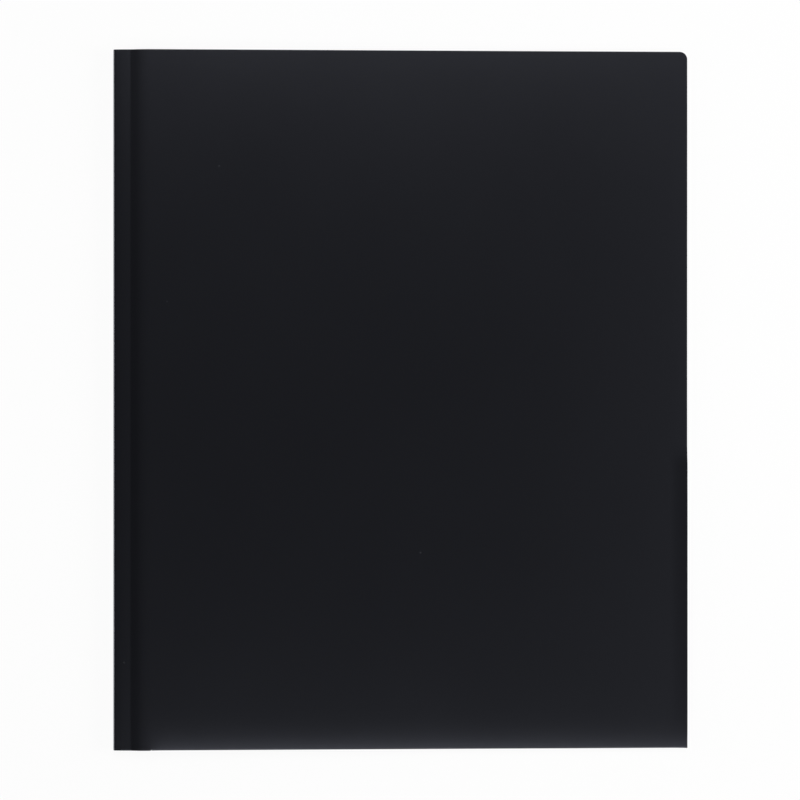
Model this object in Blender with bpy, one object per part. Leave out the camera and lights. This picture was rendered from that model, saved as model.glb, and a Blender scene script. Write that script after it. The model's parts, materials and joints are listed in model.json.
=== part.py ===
"""Poly pocket folder with three double-prong fasteners, lying closed on its back cover.

Metres, +Z up. X runs across the folder from the spine (-X) to the free edge (+X), Y runs up the page, and the
origin is at the middle of the footprint, on the surface that the back cover lies on. Distances named "from the
spine" are measured from the spine's outer face.
"""

import math

import bmesh
import bpy
from mathutils import Vector

MM = 0.001

# Sheet, metal and clearances
SHEET = 0.5 * MM
METAL = 0.3 * MM
GAP = 0.3 * MM
HINGE_GAP = 0.3 * MM
PACK_ROOM = 0.15 * MM

# Covers
COVER_WIDTH = 240.0 * MM
COVER_HEIGHT = 292.0 * MM
CORNER_RADIUS = 3.2 * MM

# Hinge strip beside the spine, and the crease from which the cover swells out past it
STRIP_WIDTH = 7.2 * MM
CREASE_RISE = 8.3 * MM
CREASE_DEPTH = 0.45 * MM

# Pockets, folded up from the bottom edge and welded along the free edge
POCKET_HEIGHT = 122.5 * MM
POCKET_MARGIN = 0.5 * MM
POCKET_SPINE_RADIUS = 18.0 * MM
POCKET_EDGE_RADIUS = 3.0 * MM
POCKET_EDGE_INSET = 0.4 * MM
WELD_INSET = 2.2 * MM
WELD_WIDTH = 1.6 * MM
WELD_DEPTH = 0.15 * MM

# Fastener strip, welded to the back cover's hinge strip
FLANGE_INSET = 1.2 * MM
FLANGE_WIDTH = 4.8 * MM
FLAP_RAMP = 7.5 * MM
FLAP_OVERHANG = 7.0 * MM
FLAP_END_INSET = 8.0 * MM
FLAP_CORNER_RADIUS = 4.0 * MM

# Double-prong fasteners, at the pitch of three-hole paper
FASTENER_PITCH = 108.0 * MM
PRONG_OFFSET = 24.0 * MM
PRONG_LENGTH = 24.0 * MM
PRONG_WIDTH = 3.2 * MM
PRONG_TIP_WIDTH = 2.2 * MM
PRONG_SPLIT = 0.75 * MM
BEND_RADIUS = 0.15 * MM
CROWN_LENGTH = 13.0 * MM
CROWN_CORNER_RADIUS = 1.0 * MM
SLOT_CLEARANCE = 0.5 * MM

# Steps along curves
CREASE_STEPS = 6
ARC_STEPS = 8
CUTTER_STEPS = 24
SMOOTH_ANGLE = math.radians(30.0)

# Worked-out places, from the spine and up from the table
POCKET_START = STRIP_WIDTH + CREASE_RISE + POCKET_MARGIN
POCKET_LEVEL = SHEET + GAP
LEAF = 2 * SHEET + GAP
CROWN_LEVEL = LEAF + GAP
FLAP_LEVEL = CROWN_LEVEL + METAL + GAP
PRONG_LEVEL = FLAP_LEVEL + SHEET + GAP
CLOSED_HEIGHT = PRONG_LEVEL + METAL + GAP + LEAF + PACK_ROOM
SPINE_HEIGHT = CLOSED_HEIGHT - 2 * CREASE_DEPTH
FREE_EDGE_HEIGHT = 2 * LEAF + GAP
CLOSED_SLOPE = math.asin((CLOSED_HEIGHT - FREE_EDGE_HEIGHT) / (COVER_WIDTH - STRIP_WIDTH))
FOLD_RADIUS = LEAF / 2
BOTTOM = -COVER_HEIGHT / 2
TOP = COVER_HEIGHT / 2
FOLD_CENTRE = BOTTOM + FOLD_RADIUS
PANEL_BOTTOM = FOLD_CENTRE + HINGE_GAP
POCKET_TOP = BOTTOM + POCKET_HEIGHT
WELD_TOP = POCKET_TOP - WELD_INSET
FLANGE_LEVEL = CREASE_DEPTH + SHEET + GAP
FLANGE_END = FLANGE_INSET + FLANGE_WIDTH
FLAP_EDGE = PRONG_OFFSET + FLAP_OVERHANG
STUB_INNER = PRONG_SPLIT / 2
STUB_OUTER = STUB_INNER + METAL

BLACK_POLY = (0.016, 0.017, 0.020, 1.0)
INNER_POLY = (0.020, 0.021, 0.024, 1.0)
TIN_STEEL = (0.62, 0.62, 0.60, 1.0)


def from_spine(distance):
    """World X of a distance from the spine's outer face."""
    return distance - COVER_WIDTH / 2


def clear_scene():
    for thing in list(bpy.data.objects):
        bpy.data.objects.remove(thing, do_unlink=True)


def make_material(name, colour, roughness, metallic):
    material = bpy.data.materials.new(name)
    material.use_nodes = True
    shader = material.node_tree.nodes["Principled BSDF"]
    shader.inputs["Base Color"].default_value = colour
    shader.inputs["Roughness"].default_value = roughness
    shader.inputs["Metallic"].default_value = metallic
    return material


def add_axis(name, place, parent=None, turn=0.0):
    """An empty on a hinge axis that runs along Y, turned about it by the given angle."""
    axis = bpy.data.objects.new(name, None)
    bpy.context.scene.collection.objects.link(axis)
    axis.empty_display_size = SPINE_HEIGHT
    axis.parent = parent
    axis.location = place
    axis.rotation_euler = (0.0, turn, 0.0)
    return axis


def add_object(name, mesh_builder, material, place=(0.0, 0.0, 0.0), parent=None):
    mesh = bpy.data.meshes.new(name)
    bmesh.ops.recalc_face_normals(mesh_builder, faces=mesh_builder.faces[:])
    mesh_builder.to_mesh(mesh)
    mesh_builder.free()
    mesh.shade_smooth()
    mesh.set_sharp_from_angle(angle=SMOOTH_ANGLE)
    thing = bpy.data.objects.new(name, mesh)
    bpy.context.scene.collection.objects.link(thing)
    thing.location = place
    thing.parent = parent
    thing.data.materials.append(material)
    return thing


def extrude_outline(points, along):
    """A solid from a closed outline of 3-D points, pushed along a vector."""
    builder = bmesh.new()
    face = builder.faces.new([builder.verts.new(point) for point in points])
    pushed = bmesh.ops.extrude_face_region(builder, geom=[face])
    moved = [item for item in pushed["geom"] if isinstance(item, bmesh.types.BMVert)]
    bmesh.ops.translate(builder, verts=moved, vec=along)
    return builder


def extrude_section(section, low, high):
    """A sheet whose outline across the folder, in X and Z, runs the same from low to high in Y."""
    points = [(x, low, z) for x, z in section]
    return extrude_outline(points, (0.0, high - low, 0.0))


def sheet_section(face_points, inward, mitre=0.0):
    """The section of a bent sheet: its face points, then the same points one sheet thickness inward.

    A mitre shifts the inner first point along X, so that two panels at a square fold don't meet inside it."""
    inner = [(x, z + inward * SHEET) for x, z in face_points]
    inner[0] = (inner[0][0] + mitre, inner[0][1])
    return list(face_points) + inner[::-1]


def crease_curve():
    """Points of the cover's swell, from the crease out to the flat: distance from the crease, rise."""
    shares = [step / CREASE_STEPS for step in range(1, CREASE_STEPS + 1)]
    return [(CREASE_RISE * share, CREASE_DEPTH * math.sin(share * math.pi / 2)) for share in shares]


def round_upright_edges(builder, corners, radius, steps=ARC_STEPS):
    """Rounds the edges that stand along Z at the given X, Y corners."""
    near = 0.01 * MM
    chosen = []
    for edge in builder.edges:
        first, second = (vert.co for vert in edge.verts)
        upright = (first.xy - second.xy).length < near
        if upright and any((first.xy - place).length < near for place in corners):
            chosen.append(edge)
    bmesh.ops.bevel(
        builder, geom=chosen, offset=radius, segments=steps, profile=0.5, affect="EDGES", clamp_overlap=True
    )


def add_cutter(name, builder, parent=None, place=(0.0, 0.0, 0.0)):
    cutter = add_object(name, builder, bpy.data.materials["black_poly"], place, parent)
    cutter.hide_render = True
    cutter.display_type = "WIRE"
    return cutter


def cut(thing, cutter):
    modifier = thing.modifiers.new(cutter.name, "BOOLEAN")
    modifier.operation = "DIFFERENCE"
    modifier.object = cutter


def box_builder(low, high):
    points = [(low[0], low[1], low[2]), (high[0], low[1], low[2])]
    points += [(high[0], high[1], low[2]), (low[0], high[1], low[2])]
    return extrude_outline(points, (0.0, 0.0, high[2] - low[2]))


def rod_builder(radius, low, high):
    """A round rod along Y, for pressing a weld line into a sheet."""
    turns = [2 * math.pi * step / CUTTER_STEPS for step in range(CUTTER_STEPS)]
    points = [(radius * math.cos(turn), low, radius * math.sin(turn)) for turn in turns]
    return extrude_outline(points, (0.0, high - low, 0.0))


def press_weld(thing, across, face, outward, low, high, parent=None):
    """Presses a weld line along Y into a sheet, at an X and on the face at a Z that looks outward."""
    rod_radius = (WELD_WIDTH**2 / 4 + WELD_DEPTH**2) / (2 * WELD_DEPTH)
    place = (across, 0.0, face + outward * (rod_radius - WELD_DEPTH))
    cut(thing, add_cutter(thing.name + "_weld_press", rod_builder(rod_radius, low, high), parent, place))


def finish_cover(cover, free_edge, face, outward, parent=None):
    """Cuts a cover's bottom edge back to make room for the pocket fold, and presses in the pocket's weld line.

    free_edge and face are the X of the free edge and the Z of the outer face, in the cover's own place."""
    reach = LEAF + WELD_WIDTH
    notch_start = free_edge - (COVER_WIDTH - POCKET_START) - HINGE_GAP
    notch = box_builder(
        (notch_start, BOTTOM - reach, face - reach), (free_edge + reach, PANEL_BOTTOM, face + reach)
    )
    cut(cover, add_cutter(cover.name + "_fold_notch", notch, parent))
    press_weld(cover, free_edge - WELD_INSET, face, outward, BOTTOM - reach, WELD_TOP, parent)


def make_back_cover(poly):
    """The back cover, flat on the table, with its hinge strip a little above the table and its crease."""
    face_points = [(from_spine(HINGE_GAP / 2), CREASE_DEPTH), (from_spine(STRIP_WIDTH), CREASE_DEPTH)]
    for distance, rise in crease_curve():
        face_points.append((from_spine(STRIP_WIDTH + distance), CREASE_DEPTH - rise))
    free_edge = from_spine(COVER_WIDTH)
    face_points.append((free_edge, 0.0))
    builder = extrude_section(sheet_section(face_points, 1, mitre=SHEET), BOTTOM, TOP)
    round_upright_edges(builder, [Vector((free_edge, TOP))], CORNER_RADIUS)
    cover = add_object("back_cover", builder, poly)
    finish_cover(cover, free_edge, 0.0, -1)


def make_spine(poly, fold):
    """The spine panel, upright between the two square folds; its place is on the back fold."""
    inner_low = HINGE_GAP / 2 + SHEET
    section = [(0.0, HINGE_GAP / 2), (SHEET, inner_low)]
    section += [(SHEET, SPINE_HEIGHT - inner_low), (0.0, SPINE_HEIGHT - HINGE_GAP / 2)]
    add_object("spine_panel", extrude_section(section, BOTTOM, TOP), poly, parent=fold)


def make_front_strip(poly, fold):
    """The strip between the spine and the front crease; its place is on the front fold."""
    face_points = [(HINGE_GAP / 2, 0.0), (STRIP_WIDTH - HINGE_GAP / 2, 0.0)]
    section = sheet_section(face_points, -1, mitre=SHEET)
    add_object("front_hinge_strip", extrude_section(section, BOTTOM, TOP), poly, parent=fold)


def make_front_cover(poly, crease):
    """The front cover, from the crease to the free edge; its place is on the crease."""
    face_points = [(HINGE_GAP / 2, 0.0)] + crease_curve()
    free_edge = COVER_WIDTH - STRIP_WIDTH
    face_points.append((free_edge, CREASE_DEPTH))
    builder = extrude_section(sheet_section(face_points, -1), BOTTOM, TOP)
    round_upright_edges(builder, [Vector((free_edge, TOP))], CORNER_RADIUS)
    cover = add_object("front_cover", builder, poly, parent=crease)
    finish_cover(cover, free_edge, CREASE_DEPTH, 1, crease)


def make_pocket_fold(name, poly, face, inward, shift=0.0, parent=None):
    """The round fold at the bottom edge, where the cover's sheet turns up to make the pocket."""
    turns = [math.pi * step / ARC_STEPS for step in range(ARC_STEPS + 1)]
    centre = face + inward * FOLD_RADIUS
    outer = [(FOLD_RADIUS * math.sin(turn), FOLD_RADIUS * math.cos(turn)) for turn in turns]
    inner = [(GAP / 2 * math.sin(turn), GAP / 2 * math.cos(turn)) for turn in reversed(turns)]
    start = from_spine(POCKET_START) + shift
    end = from_spine(COVER_WIDTH - POCKET_EDGE_INSET) + shift
    points = [(start, FOLD_CENTRE - out, centre - up) for out, up in outer + inner]
    builder = extrude_outline(points, (end - start, 0.0, 0.0))
    add_object(name, builder, poly, parent=parent)


def arc_points(centre, radius, from_angle, to_angle):
    """Points on an arc in X and Y, ends included."""
    span = to_angle - from_angle
    turns = [from_angle + span * step / ARC_STEPS for step in range(ARC_STEPS + 1)]
    return [(centre[0] + radius * math.cos(turn), centre[1] + radius * math.sin(turn)) for turn in turns]


def make_pocket(name, poly, face, inward, shift=0.0, parent=None):
    """A pocket sheet lying one gap from its cover, with a wide round corner towards the spine.

    face is the Z of the cover's outer face, and inward is the way from there to the pocket."""
    start = from_spine(POCKET_START) + shift
    end = from_spine(COVER_WIDTH - POCKET_EDGE_INSET) + shift
    outline = [(start, PANEL_BOTTOM), (end, PANEL_BOTTOM)]
    edge_centre = (end - POCKET_EDGE_RADIUS, POCKET_TOP - POCKET_EDGE_RADIUS)
    outline += arc_points(edge_centre, POCKET_EDGE_RADIUS, 0.0, math.pi / 2)
    spine_centre = (start + POCKET_SPINE_RADIUS, POCKET_TOP - POCKET_SPINE_RADIUS)
    outline += arc_points(spine_centre, POCKET_SPINE_RADIUS, math.pi / 2, math.pi)
    points = [(x, y, face + inward * POCKET_LEVEL) for x, y in outline]
    pocket = add_object(name, extrude_outline(points, (0.0, 0.0, inward * SHEET)), poly, parent=parent)
    weld_place = from_spine(COVER_WIDTH - WELD_INSET) + shift
    press_weld(pocket, weld_place, face + inward * LEAF, inward, BOTTOM, WELD_TOP, parent)


def make_fastener_strip(poly):
    """The strip that carries the fasteners: a flange on the hinge strip, a ramp, and a flap over the pocket."""
    ramp = []
    for step in range(CREASE_STEPS * 2 + 1):
        share = step / (CREASE_STEPS * 2)
        smooth = share * share * (3 - 2 * share)
        level = FLANGE_LEVEL + (FLAP_LEVEL - FLANGE_LEVEL) * smooth
        ramp.append((from_spine(FLANGE_END + FLAP_RAMP * share), level))
    free_edge = from_spine(FLAP_EDGE)
    face_points = [(from_spine(FLANGE_INSET), FLANGE_LEVEL)] + ramp + [(free_edge, FLAP_LEVEL)]
    low, high = BOTTOM + FLAP_END_INSET, TOP - FLAP_END_INSET
    builder = extrude_section(sheet_section(face_points, 1), low, high)
    round_upright_edges(builder, [Vector((free_edge, low)), Vector((free_edge, high))], FLAP_CORNER_RADIUS)
    strip = add_object("fastener_strip", builder, poly)
    seam = from_spine((FLANGE_INSET + FLANGE_END) / 2)
    press_weld(strip, seam, FLANGE_LEVEL + SHEET, 1, BOTTOM, TOP)
    half_across = PRONG_WIDTH / 2 + SLOT_CLEARANCE
    half_along = STUB_OUTER + SLOT_CLEARANCE
    middle = from_spine(PRONG_OFFSET)
    for label, up_page in fasteners():
        slot = box_builder(
            (middle - half_across, up_page - half_along, FLAP_LEVEL - GAP),
            (middle + half_across, up_page + half_along, FLAP_LEVEL + SHEET + GAP),
        )
        cut(strip, add_cutter("slot_" + label, slot))


def fasteners():
    """Each fastener's name and its place up the page."""
    return [("top", FASTENER_PITCH), ("middle", 0.0), ("bottom", -FASTENER_PITCH)]


def make_fastener_base(label, up_page, steel):
    """One fastener's crown, lying under the strip, with the two stubs that stand up through the slot."""
    crown_top = CROWN_LEVEL + METAL
    stub_top = FLAP_LEVEL + SHEET
    half = CROWN_LENGTH / 2
    right = [(half, CROWN_LEVEL), (half, crown_top), (STUB_OUTER, crown_top)]
    right += [(STUB_OUTER, stub_top), (STUB_INNER, stub_top), (STUB_INNER, crown_top)]
    section = right + [(-along, level) for along, level in reversed(right)]
    start = from_spine(PRONG_OFFSET) - PRONG_WIDTH / 2
    points = [(start, up_page + along, level) for along, level in section]
    builder = extrude_outline(points, (PRONG_WIDTH, 0.0, 0.0))
    ends = [Vector((x, up_page + y)) for x in (start, start + PRONG_WIDTH) for y in (-half, half)]
    round_upright_edges(builder, ends, CROWN_CORNER_RADIUS, ARC_STEPS // 2)
    add_object("fastener_base_" + label, builder, steel)


def make_prong(name, up_page, side, steel):
    """One prong, folded flat along the strip; its place is on the bend, where it hinges up."""
    shoulder = PRONG_LENGTH - PRONG_TIP_WIDTH / 2
    half = PRONG_WIDTH / 2
    outline = [(half, 0.0)] + arc_points((0.0, shoulder), PRONG_TIP_WIDTH / 2, 0.0, math.pi) + [(-half, 0.0)]
    points = [(x, y, BEND_RADIUS) for x, y in outline]
    builder = extrude_outline(points, (0.0, 0.0, METAL))
    bend = (from_spine(PRONG_OFFSET), up_page + side * (STUB_OUTER + BEND_RADIUS), PRONG_LEVEL - BEND_RADIUS)
    prong = add_object(name, builder, steel, bend)
    prong.rotation_euler = (0.0, 0.0, 0.0 if side > 0 else math.pi)


def main():
    clear_scene()
    poly = make_material("black_poly", BLACK_POLY, 0.45, 0.0)
    pocket_poly = make_material("inner_poly", INNER_POLY, 0.5, 0.0)
    steel = make_material("tin_plated_steel", TIN_STEEL, 0.3, 1.0)

    back_fold = add_axis("back_fold_axis", (from_spine(0.0), 0.0, CREASE_DEPTH))
    front_fold = add_axis("front_fold_axis", (0.0, 0.0, SPINE_HEIGHT), back_fold)
    front_crease = add_axis("front_crease_axis", (STRIP_WIDTH, 0.0, 0.0), front_fold, CLOSED_SLOPE)

    make_back_cover(poly)
    make_pocket_fold("back_pocket_fold", poly, 0.0, 1)
    make_pocket("back_pocket", pocket_poly, 0.0, 1)
    make_spine(poly, back_fold)
    make_front_strip(poly, front_fold)

    to_crease = -from_spine(STRIP_WIDTH)
    make_front_cover(poly, front_crease)
    make_pocket_fold("front_pocket_fold", poly, CREASE_DEPTH, -1, to_crease, front_crease)
    make_pocket("front_pocket", pocket_poly, CREASE_DEPTH, -1, to_crease, front_crease)

    make_fastener_strip(pocket_poly)
    for label, up_page in fasteners():
        make_fastener_base(label, up_page, steel)
        make_prong("prong_" + label + "_upper", up_page, 1, steel)
        make_prong("prong_" + label + "_lower", up_page, -1, steel)


main()
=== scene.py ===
"""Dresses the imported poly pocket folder: its bent sheets, welds and prongs, their finishes and the studio.

Laid out as an add-on: property groups hold the sizes and finishes, one operator makes each piece or group of
like pieces, and main calls them in order. Metres, +Z up; X runs from the spine to the free edge and Y up the
page.
"""

import json
import math

import bmesh
import bpy
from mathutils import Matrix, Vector


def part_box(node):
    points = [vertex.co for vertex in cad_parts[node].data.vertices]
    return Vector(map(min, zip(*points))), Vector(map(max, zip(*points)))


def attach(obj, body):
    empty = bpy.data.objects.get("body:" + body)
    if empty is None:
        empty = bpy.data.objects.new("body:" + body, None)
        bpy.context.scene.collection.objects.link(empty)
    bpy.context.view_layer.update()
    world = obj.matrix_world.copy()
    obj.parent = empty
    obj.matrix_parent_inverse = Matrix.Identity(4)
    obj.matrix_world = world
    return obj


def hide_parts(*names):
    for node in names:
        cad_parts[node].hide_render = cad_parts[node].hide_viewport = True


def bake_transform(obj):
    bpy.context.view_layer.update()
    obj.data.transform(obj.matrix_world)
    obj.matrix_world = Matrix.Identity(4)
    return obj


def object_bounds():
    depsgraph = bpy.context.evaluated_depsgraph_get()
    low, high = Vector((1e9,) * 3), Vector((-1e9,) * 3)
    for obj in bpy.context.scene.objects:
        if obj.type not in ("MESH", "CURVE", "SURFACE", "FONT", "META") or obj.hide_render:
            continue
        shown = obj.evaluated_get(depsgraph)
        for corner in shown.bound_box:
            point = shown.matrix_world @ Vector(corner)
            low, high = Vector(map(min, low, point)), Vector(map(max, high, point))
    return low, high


bl_info = {
    "name": "Prong Fastener Folder",
    "version": (1, 0, 0),
    "blender": (4, 5, 0),
    "location": "3D View > Sidebar > Folder",
    "description": "Models a poly pocket folder with prong fasteners around its packed frame",
    "category": "Object",
}

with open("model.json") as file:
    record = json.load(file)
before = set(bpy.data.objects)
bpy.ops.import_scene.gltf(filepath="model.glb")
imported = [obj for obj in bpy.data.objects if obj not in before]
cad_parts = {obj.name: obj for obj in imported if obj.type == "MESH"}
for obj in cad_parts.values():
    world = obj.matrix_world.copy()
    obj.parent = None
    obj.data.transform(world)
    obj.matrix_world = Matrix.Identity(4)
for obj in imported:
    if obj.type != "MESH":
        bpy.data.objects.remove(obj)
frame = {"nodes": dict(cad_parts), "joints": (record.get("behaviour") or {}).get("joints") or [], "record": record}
CAD_LOW, CAD_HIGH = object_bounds()

MM = 0.001
NEAR = 0.01 * MM
TOO_SHORT = NEAR / 10

# Places and thicknesses read from the frame
JOINTS = {joint["name"]: joint for joint in frame["joints"]}
MOUNTS = {mount["name"]: mount for mount in frame["record"]["mounts"]}
SPINE_X, FREE_X = CAD_LOW.x, CAD_HIGH.x
BOTTOM_Y, TOP_Y = CAD_LOW.y, CAD_HIGH.y
BACK_STRIP_Z = JOINTS["back_fold"]["pos_m"][2]
FRONT_STRIP_Z = JOINTS["front_fold"]["pos_m"][2]
CREASE_X = JOINTS["front_crease"]["pos_m"][0]
CLOSED_SLOPE = math.asin(MOUNTS["front_face"]["axis"][0])
POCKET_LOW, POCKET_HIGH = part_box("back_pocket")
SHEET = POCKET_HIGH.z - POCKET_LOW.z
LEAF = POCKET_HIGH.z
POCKET_X, POCKET_TOP = POCKET_LOW.x, POCKET_HIGH.y
POCKET_EDGE_INSET = FREE_X - POCKET_HIGH.x
FOLD_RADIUS = LEAF / 2
FOLD_Y = BOTTOM_Y + FOLD_RADIUS
FLAP_LOW, FLAP_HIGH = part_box("fastener_strip")
PRONG_LOW, PRONG_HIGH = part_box("prong_top_upper")
METAL = PRONG_HIGH.z - PRONG_LOW.z
PRONG_WIDTH = PRONG_HIGH.x - PRONG_LOW.x
PRONG_X, PRONG_BEND_Y, PRONG_BEND_Z = JOINTS["top_upper_bend"]["pos_m"]
STUB_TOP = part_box("fastener_base_top")[1].z
FASTENERS = ("top", "middle", "bottom")

# Where one sheet is split into pieces: the middle of the spine panel, and a place on the front hinge strip
SPINE_SEAM_Z = (BACK_STRIP_Z + FRONT_STRIP_Z) / 2
STRIP_SEAM_SHARE = 0.45
STRIP_SEAM_X = SPINE_X + STRIP_SEAM_SHARE * (CREASE_X - SPINE_X)
SEAM_NEAR = 0.03 * MM

# Steps along curves
FOLD_STEPS = 12
SPINE_FOLD_STEPS = 8
CREASE_STEPS = 14
CREASE_ROUND_STEPS = 4
STRIP_STEPS = 6
CORNER_STEPS = 10
EDGE_ROUND_STEPS = 3
ROLL_STEPS = 9
ROLL_FADE_STEPS = 5
RAMP_STEPS = 14
PRONG_TURN_STEPS = 8
PRONG_GIVE_STEPS = 6

# Spacing of the lines on which a flat sheet bows, closer along its free edge
PANEL_STEP = 12 * MM
SPINE_STEP = 24 * MM
EDGE_STEP = 0.5 * MM
EDGE_STEPS = 14

# Lines across the pocket's top, as shares of the weld's fade and of half the curl's fade
WELD_FADE_PARTS = (0.0, 0.1875, 0.3125, 0.55, 0.75, 1.0)
CURL_FADE_PARTS = (-1.0, 0.35, 0.7, 1.0)

# The two slow waves of a flat cover, in radians a metre along X and Y
WAVES = (Vector((31.0, 17.0, 0.0)), Vector((-12.0, 43.0, 0.0)))

# Each corner's share of a prong's tip, so that the two just fail to meet, and a weld spot's wall, in depths
TIP_CORNER = 0.48
SPOT_WALL = 2

# Faces that meet at less than the first angle are shaded as one, and cut edges that turn by more than the
# second are rounded
SMOOTH_ANGLE = math.radians(20)
CUT_EDGE_ANGLE = math.radians(60)

# Noise patterns: the size of a feature along X, Y and Z, the finer layers, and the turn about Z
CLOUDS = ((55 * MM, 70 * MM, 55 * MM), 2.0, 0.0)
RUBBED_STREAKS = ((0.5 * MM, 30 * MM, 5 * MM), 3.0, math.radians(24))
# The patches that break up the cut edges' lighter colour, partly scuffing and partly painted highlight
SCUFF_AND_HIGHLIGHT_PATCHES = ((9 * MM, 9 * MM, 9 * MM), 4.0, 0.0)
FINE_ROLLING = ((0.09 * MM, 7 * MM, 0.5 * MM), 3.0, 0.0)
BROAD_ROLLING = ((0.6 * MM, 12 * MM, 2 * MM), 2.0, 0.0)
GRAIN_LAYERS = 2.0
GRAIN_HARSHNESS = 0.6

# The stretch of a noise's values over which its effect grows, and the least share of edge scuffing and painted
# highlight
MAIN_RANGE = (0.3, 0.7)
RUBBED_RANGE = (0.60, 0.78)
SCUFF_AND_HIGHLIGHT_RANGE = (0.38, 0.60)
LEAST_SCUFF_AND_HIGHLIGHT = 0.15

# Lint: the spacing of its cells, a speck's inner and outer radius in cells, and the value over which a cell
# has a speck
LINT_SPACING = 21 * MM
LINT_RADII = (0.010, 0.022)
LINT_THRESHOLD = 0.55

# How far the patterns lighten or darken a colour, and how far they change a roughness
CLOUD_LIGHTENING = 1.12
CLOUD_ROUGHNESS = 0.006
RUBBED_ROUGHNESS = 0.012
STREAK_DARKENING = 0.8
STREAK_SMOOTHER = 0.06
STREAK_ROUGHER = 0.08

# The floor, whose rim sweeps up, and how high up the light of the walls reaches
FLOOR_WIDTH = 16.0
FLOOR_LEVEL = -0.1 * MM
SWEEP_HEIGHT = 1.2
SWEEP_ROUND = 0.8 * SWEEP_HEIGHT
SWEEP_STEPS = 8
WALL_ANGLE = math.radians(48)

# Each lamp's bearing from +X and its lean from straight above, in degrees, and its size
LAMP_DISTANCE = 1.2
LAMPS = {
    "top": (90, 40, (0.90, 0.45)),
    "bottom": (-90, 40, (0.90, 0.45)),
    "right": (0, 70, (0.50, 0.45)),
    "left": (180, 80, (0.90, 0.45)),
}

# The two ends along X of each panel overhead, and the panels' length along Y
CEILING_PANELS = {"ceiling": (-0.545, 0.365), "ceiling_side": (0.365, 0.785)}
CEILING_LENGTH = 1.4


def length(name, description, default):
    """A size property in metres."""
    return bpy.props.FloatProperty(
        name=name, description=description, default=default, min=0.0, precision=5, unit="LENGTH"
    )


def share(name, description, default):
    """A property between nought and one."""
    return bpy.props.FloatProperty(
        name=name, description=description, default=default, min=0.0, max=1.0, subtype="FACTOR"
    )


def colour(name, description, default):
    """A colour property in linear values."""
    return bpy.props.FloatVectorProperty(
        name=name, description=description, default=default, size=3, min=0.0, max=1.0, subtype="COLOR"
    )


def angle(name, description, default):
    """An angle property in radians."""
    return bpy.props.FloatProperty(name=name, description=description, default=default, subtype="ANGLE")


def power(name, description, default):
    """A lamp's power in watts."""
    return bpy.props.FloatProperty(
        name=name, description=description, default=default, min=0.0, unit="POWER"
    )


class FolderSheet(bpy.types.PropertyGroup):
    """Sizes of the bent poly sheet."""

    thickness: length("Thickness", "Thickness of the poly sheet", SHEET)
    fold_radius: length("Spine fold radius", "Outer radius of the two folds along the spine", 1.0 * MM)
    strip_camber: length("Strip camber", "How far the hinge strip bows down towards the spine", 0.2 * MM)
    crease_softness: length("Crease softness", "Half width of the rounding in the crease", 0.35 * MM)
    crease_swell: length("Crease swell", "Distance over which a cover swells out past its crease", 8.4 * MM)
    crease_steady: share("Steady slope", "Share of the swell with a steady slope, next to the crease", 0.30)
    front_rise: length("Front rise", "How far the front cover swells out past its crease", 0.65 * MM)
    hinge_reach: length("Hinge reach", "Half width of what bends at a crease or a fold", 1.5 * MM)
    corner_radius: length("Corner radius", "Radius of the cover's free top corner", 3.2 * MM)
    roll_length: length("Roll length", "How far above the bottom fold a leaf starts to curve in", 18.0 * MM)
    roll_depth: length("Roll depth", "How much thinner a leaf is pressed at its bottom fold", 0.14 * MM)
    roll_droop: length("Roll droop", "How far the front leaf droops at its bottom fold", 0.31 * MM)
    roll_fade: length("Roll fade", "Distance from the crease's swell over which the roll grows", 10.0 * MM)
    slit_width: length("Slit width", "Width of the slit where the bottom fold starts", 0.3 * MM)
    pocket_spine_radius: length("Pocket corner", "Radius of the pocket's corner at the spine", 18.0 * MM)
    pocket_edge_radius: length("Pocket edge corner", "Radius of the pocket's corner at the edge", 3.0 * MM)
    weld_inset: length("Weld inset", "Distance of the side weld from the free edge", 2.0 * MM)
    weld_width: length("Weld width", "Width of the side weld", 2.6 * MM)
    weld_depth: length("Weld depth", "Depth that the side weld is pressed into a pocket", 0.25 * MM)
    weld_fade: length("Weld fade", "Distance over which the side weld fades out at its ends", 4.0 * MM)
    curl_width: length("Edge curl width", "Width of the front's free edge that curls", 7.0 * MM)
    curl_height: length("Edge curl height", "How far the front's welded edge curls up", 0.50 * MM)
    curl_fade: length("Edge curl fade", "Distance over which the curl grows at the pocket's top", 11.0 * MM)
    edge_droop: length("Edge droop", "How far the front's single edge droops above its pocket", 0.07 * MM)
    wave_height: length("Wave height", "Height of the slow waves in a flat cover", 0.08 * MM)
    wave_fade: length("Wave fade", "Distance from the pocket's start over which the waves grow", 96 * MM)
    edge_round: length("Edge round", "Rounding of the cut edges", 0.20 * MM)


class FolderFastener(bpy.types.PropertyGroup):
    """Sizes of the fastener strip and its prongs."""

    flange_width: length("Flange width", "Width of the strip's welded flange", 4.8 * MM)
    ramp_length: length("Ramp length", "Length of the strip's ramp over the back crease", 7.5 * MM)
    flap_corner: length("Flap corner", "Radius of the strip's free corners", 4.0 * MM)
    slot_clearance: length("Slot clearance", "Room around a fastener in its slot", 0.5 * MM)
    spot_length: length("Weld spot length", "Length of a weld spot along the flange", 5.0 * MM)
    spot_width: length("Weld spot width", "Width of a weld spot", 2.2 * MM)
    spot_pitch: length("Weld spot pitch", "Spacing of the weld spots", 11.5 * MM)
    spot_depth: length("Weld spot depth", "Depth that a weld spot is pressed in", 0.12 * MM)
    tip_width: length("Prong tip width", "Width of a prong at its round tip", 2.2 * MM)
    bend_reach: length("Bend reach", "Length of a prong that gives as it is bent up", 2.0 * MM)
    edge_round: length("Metal edge round", "Rounding of the stamped edges", 0.05 * MM)


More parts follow.
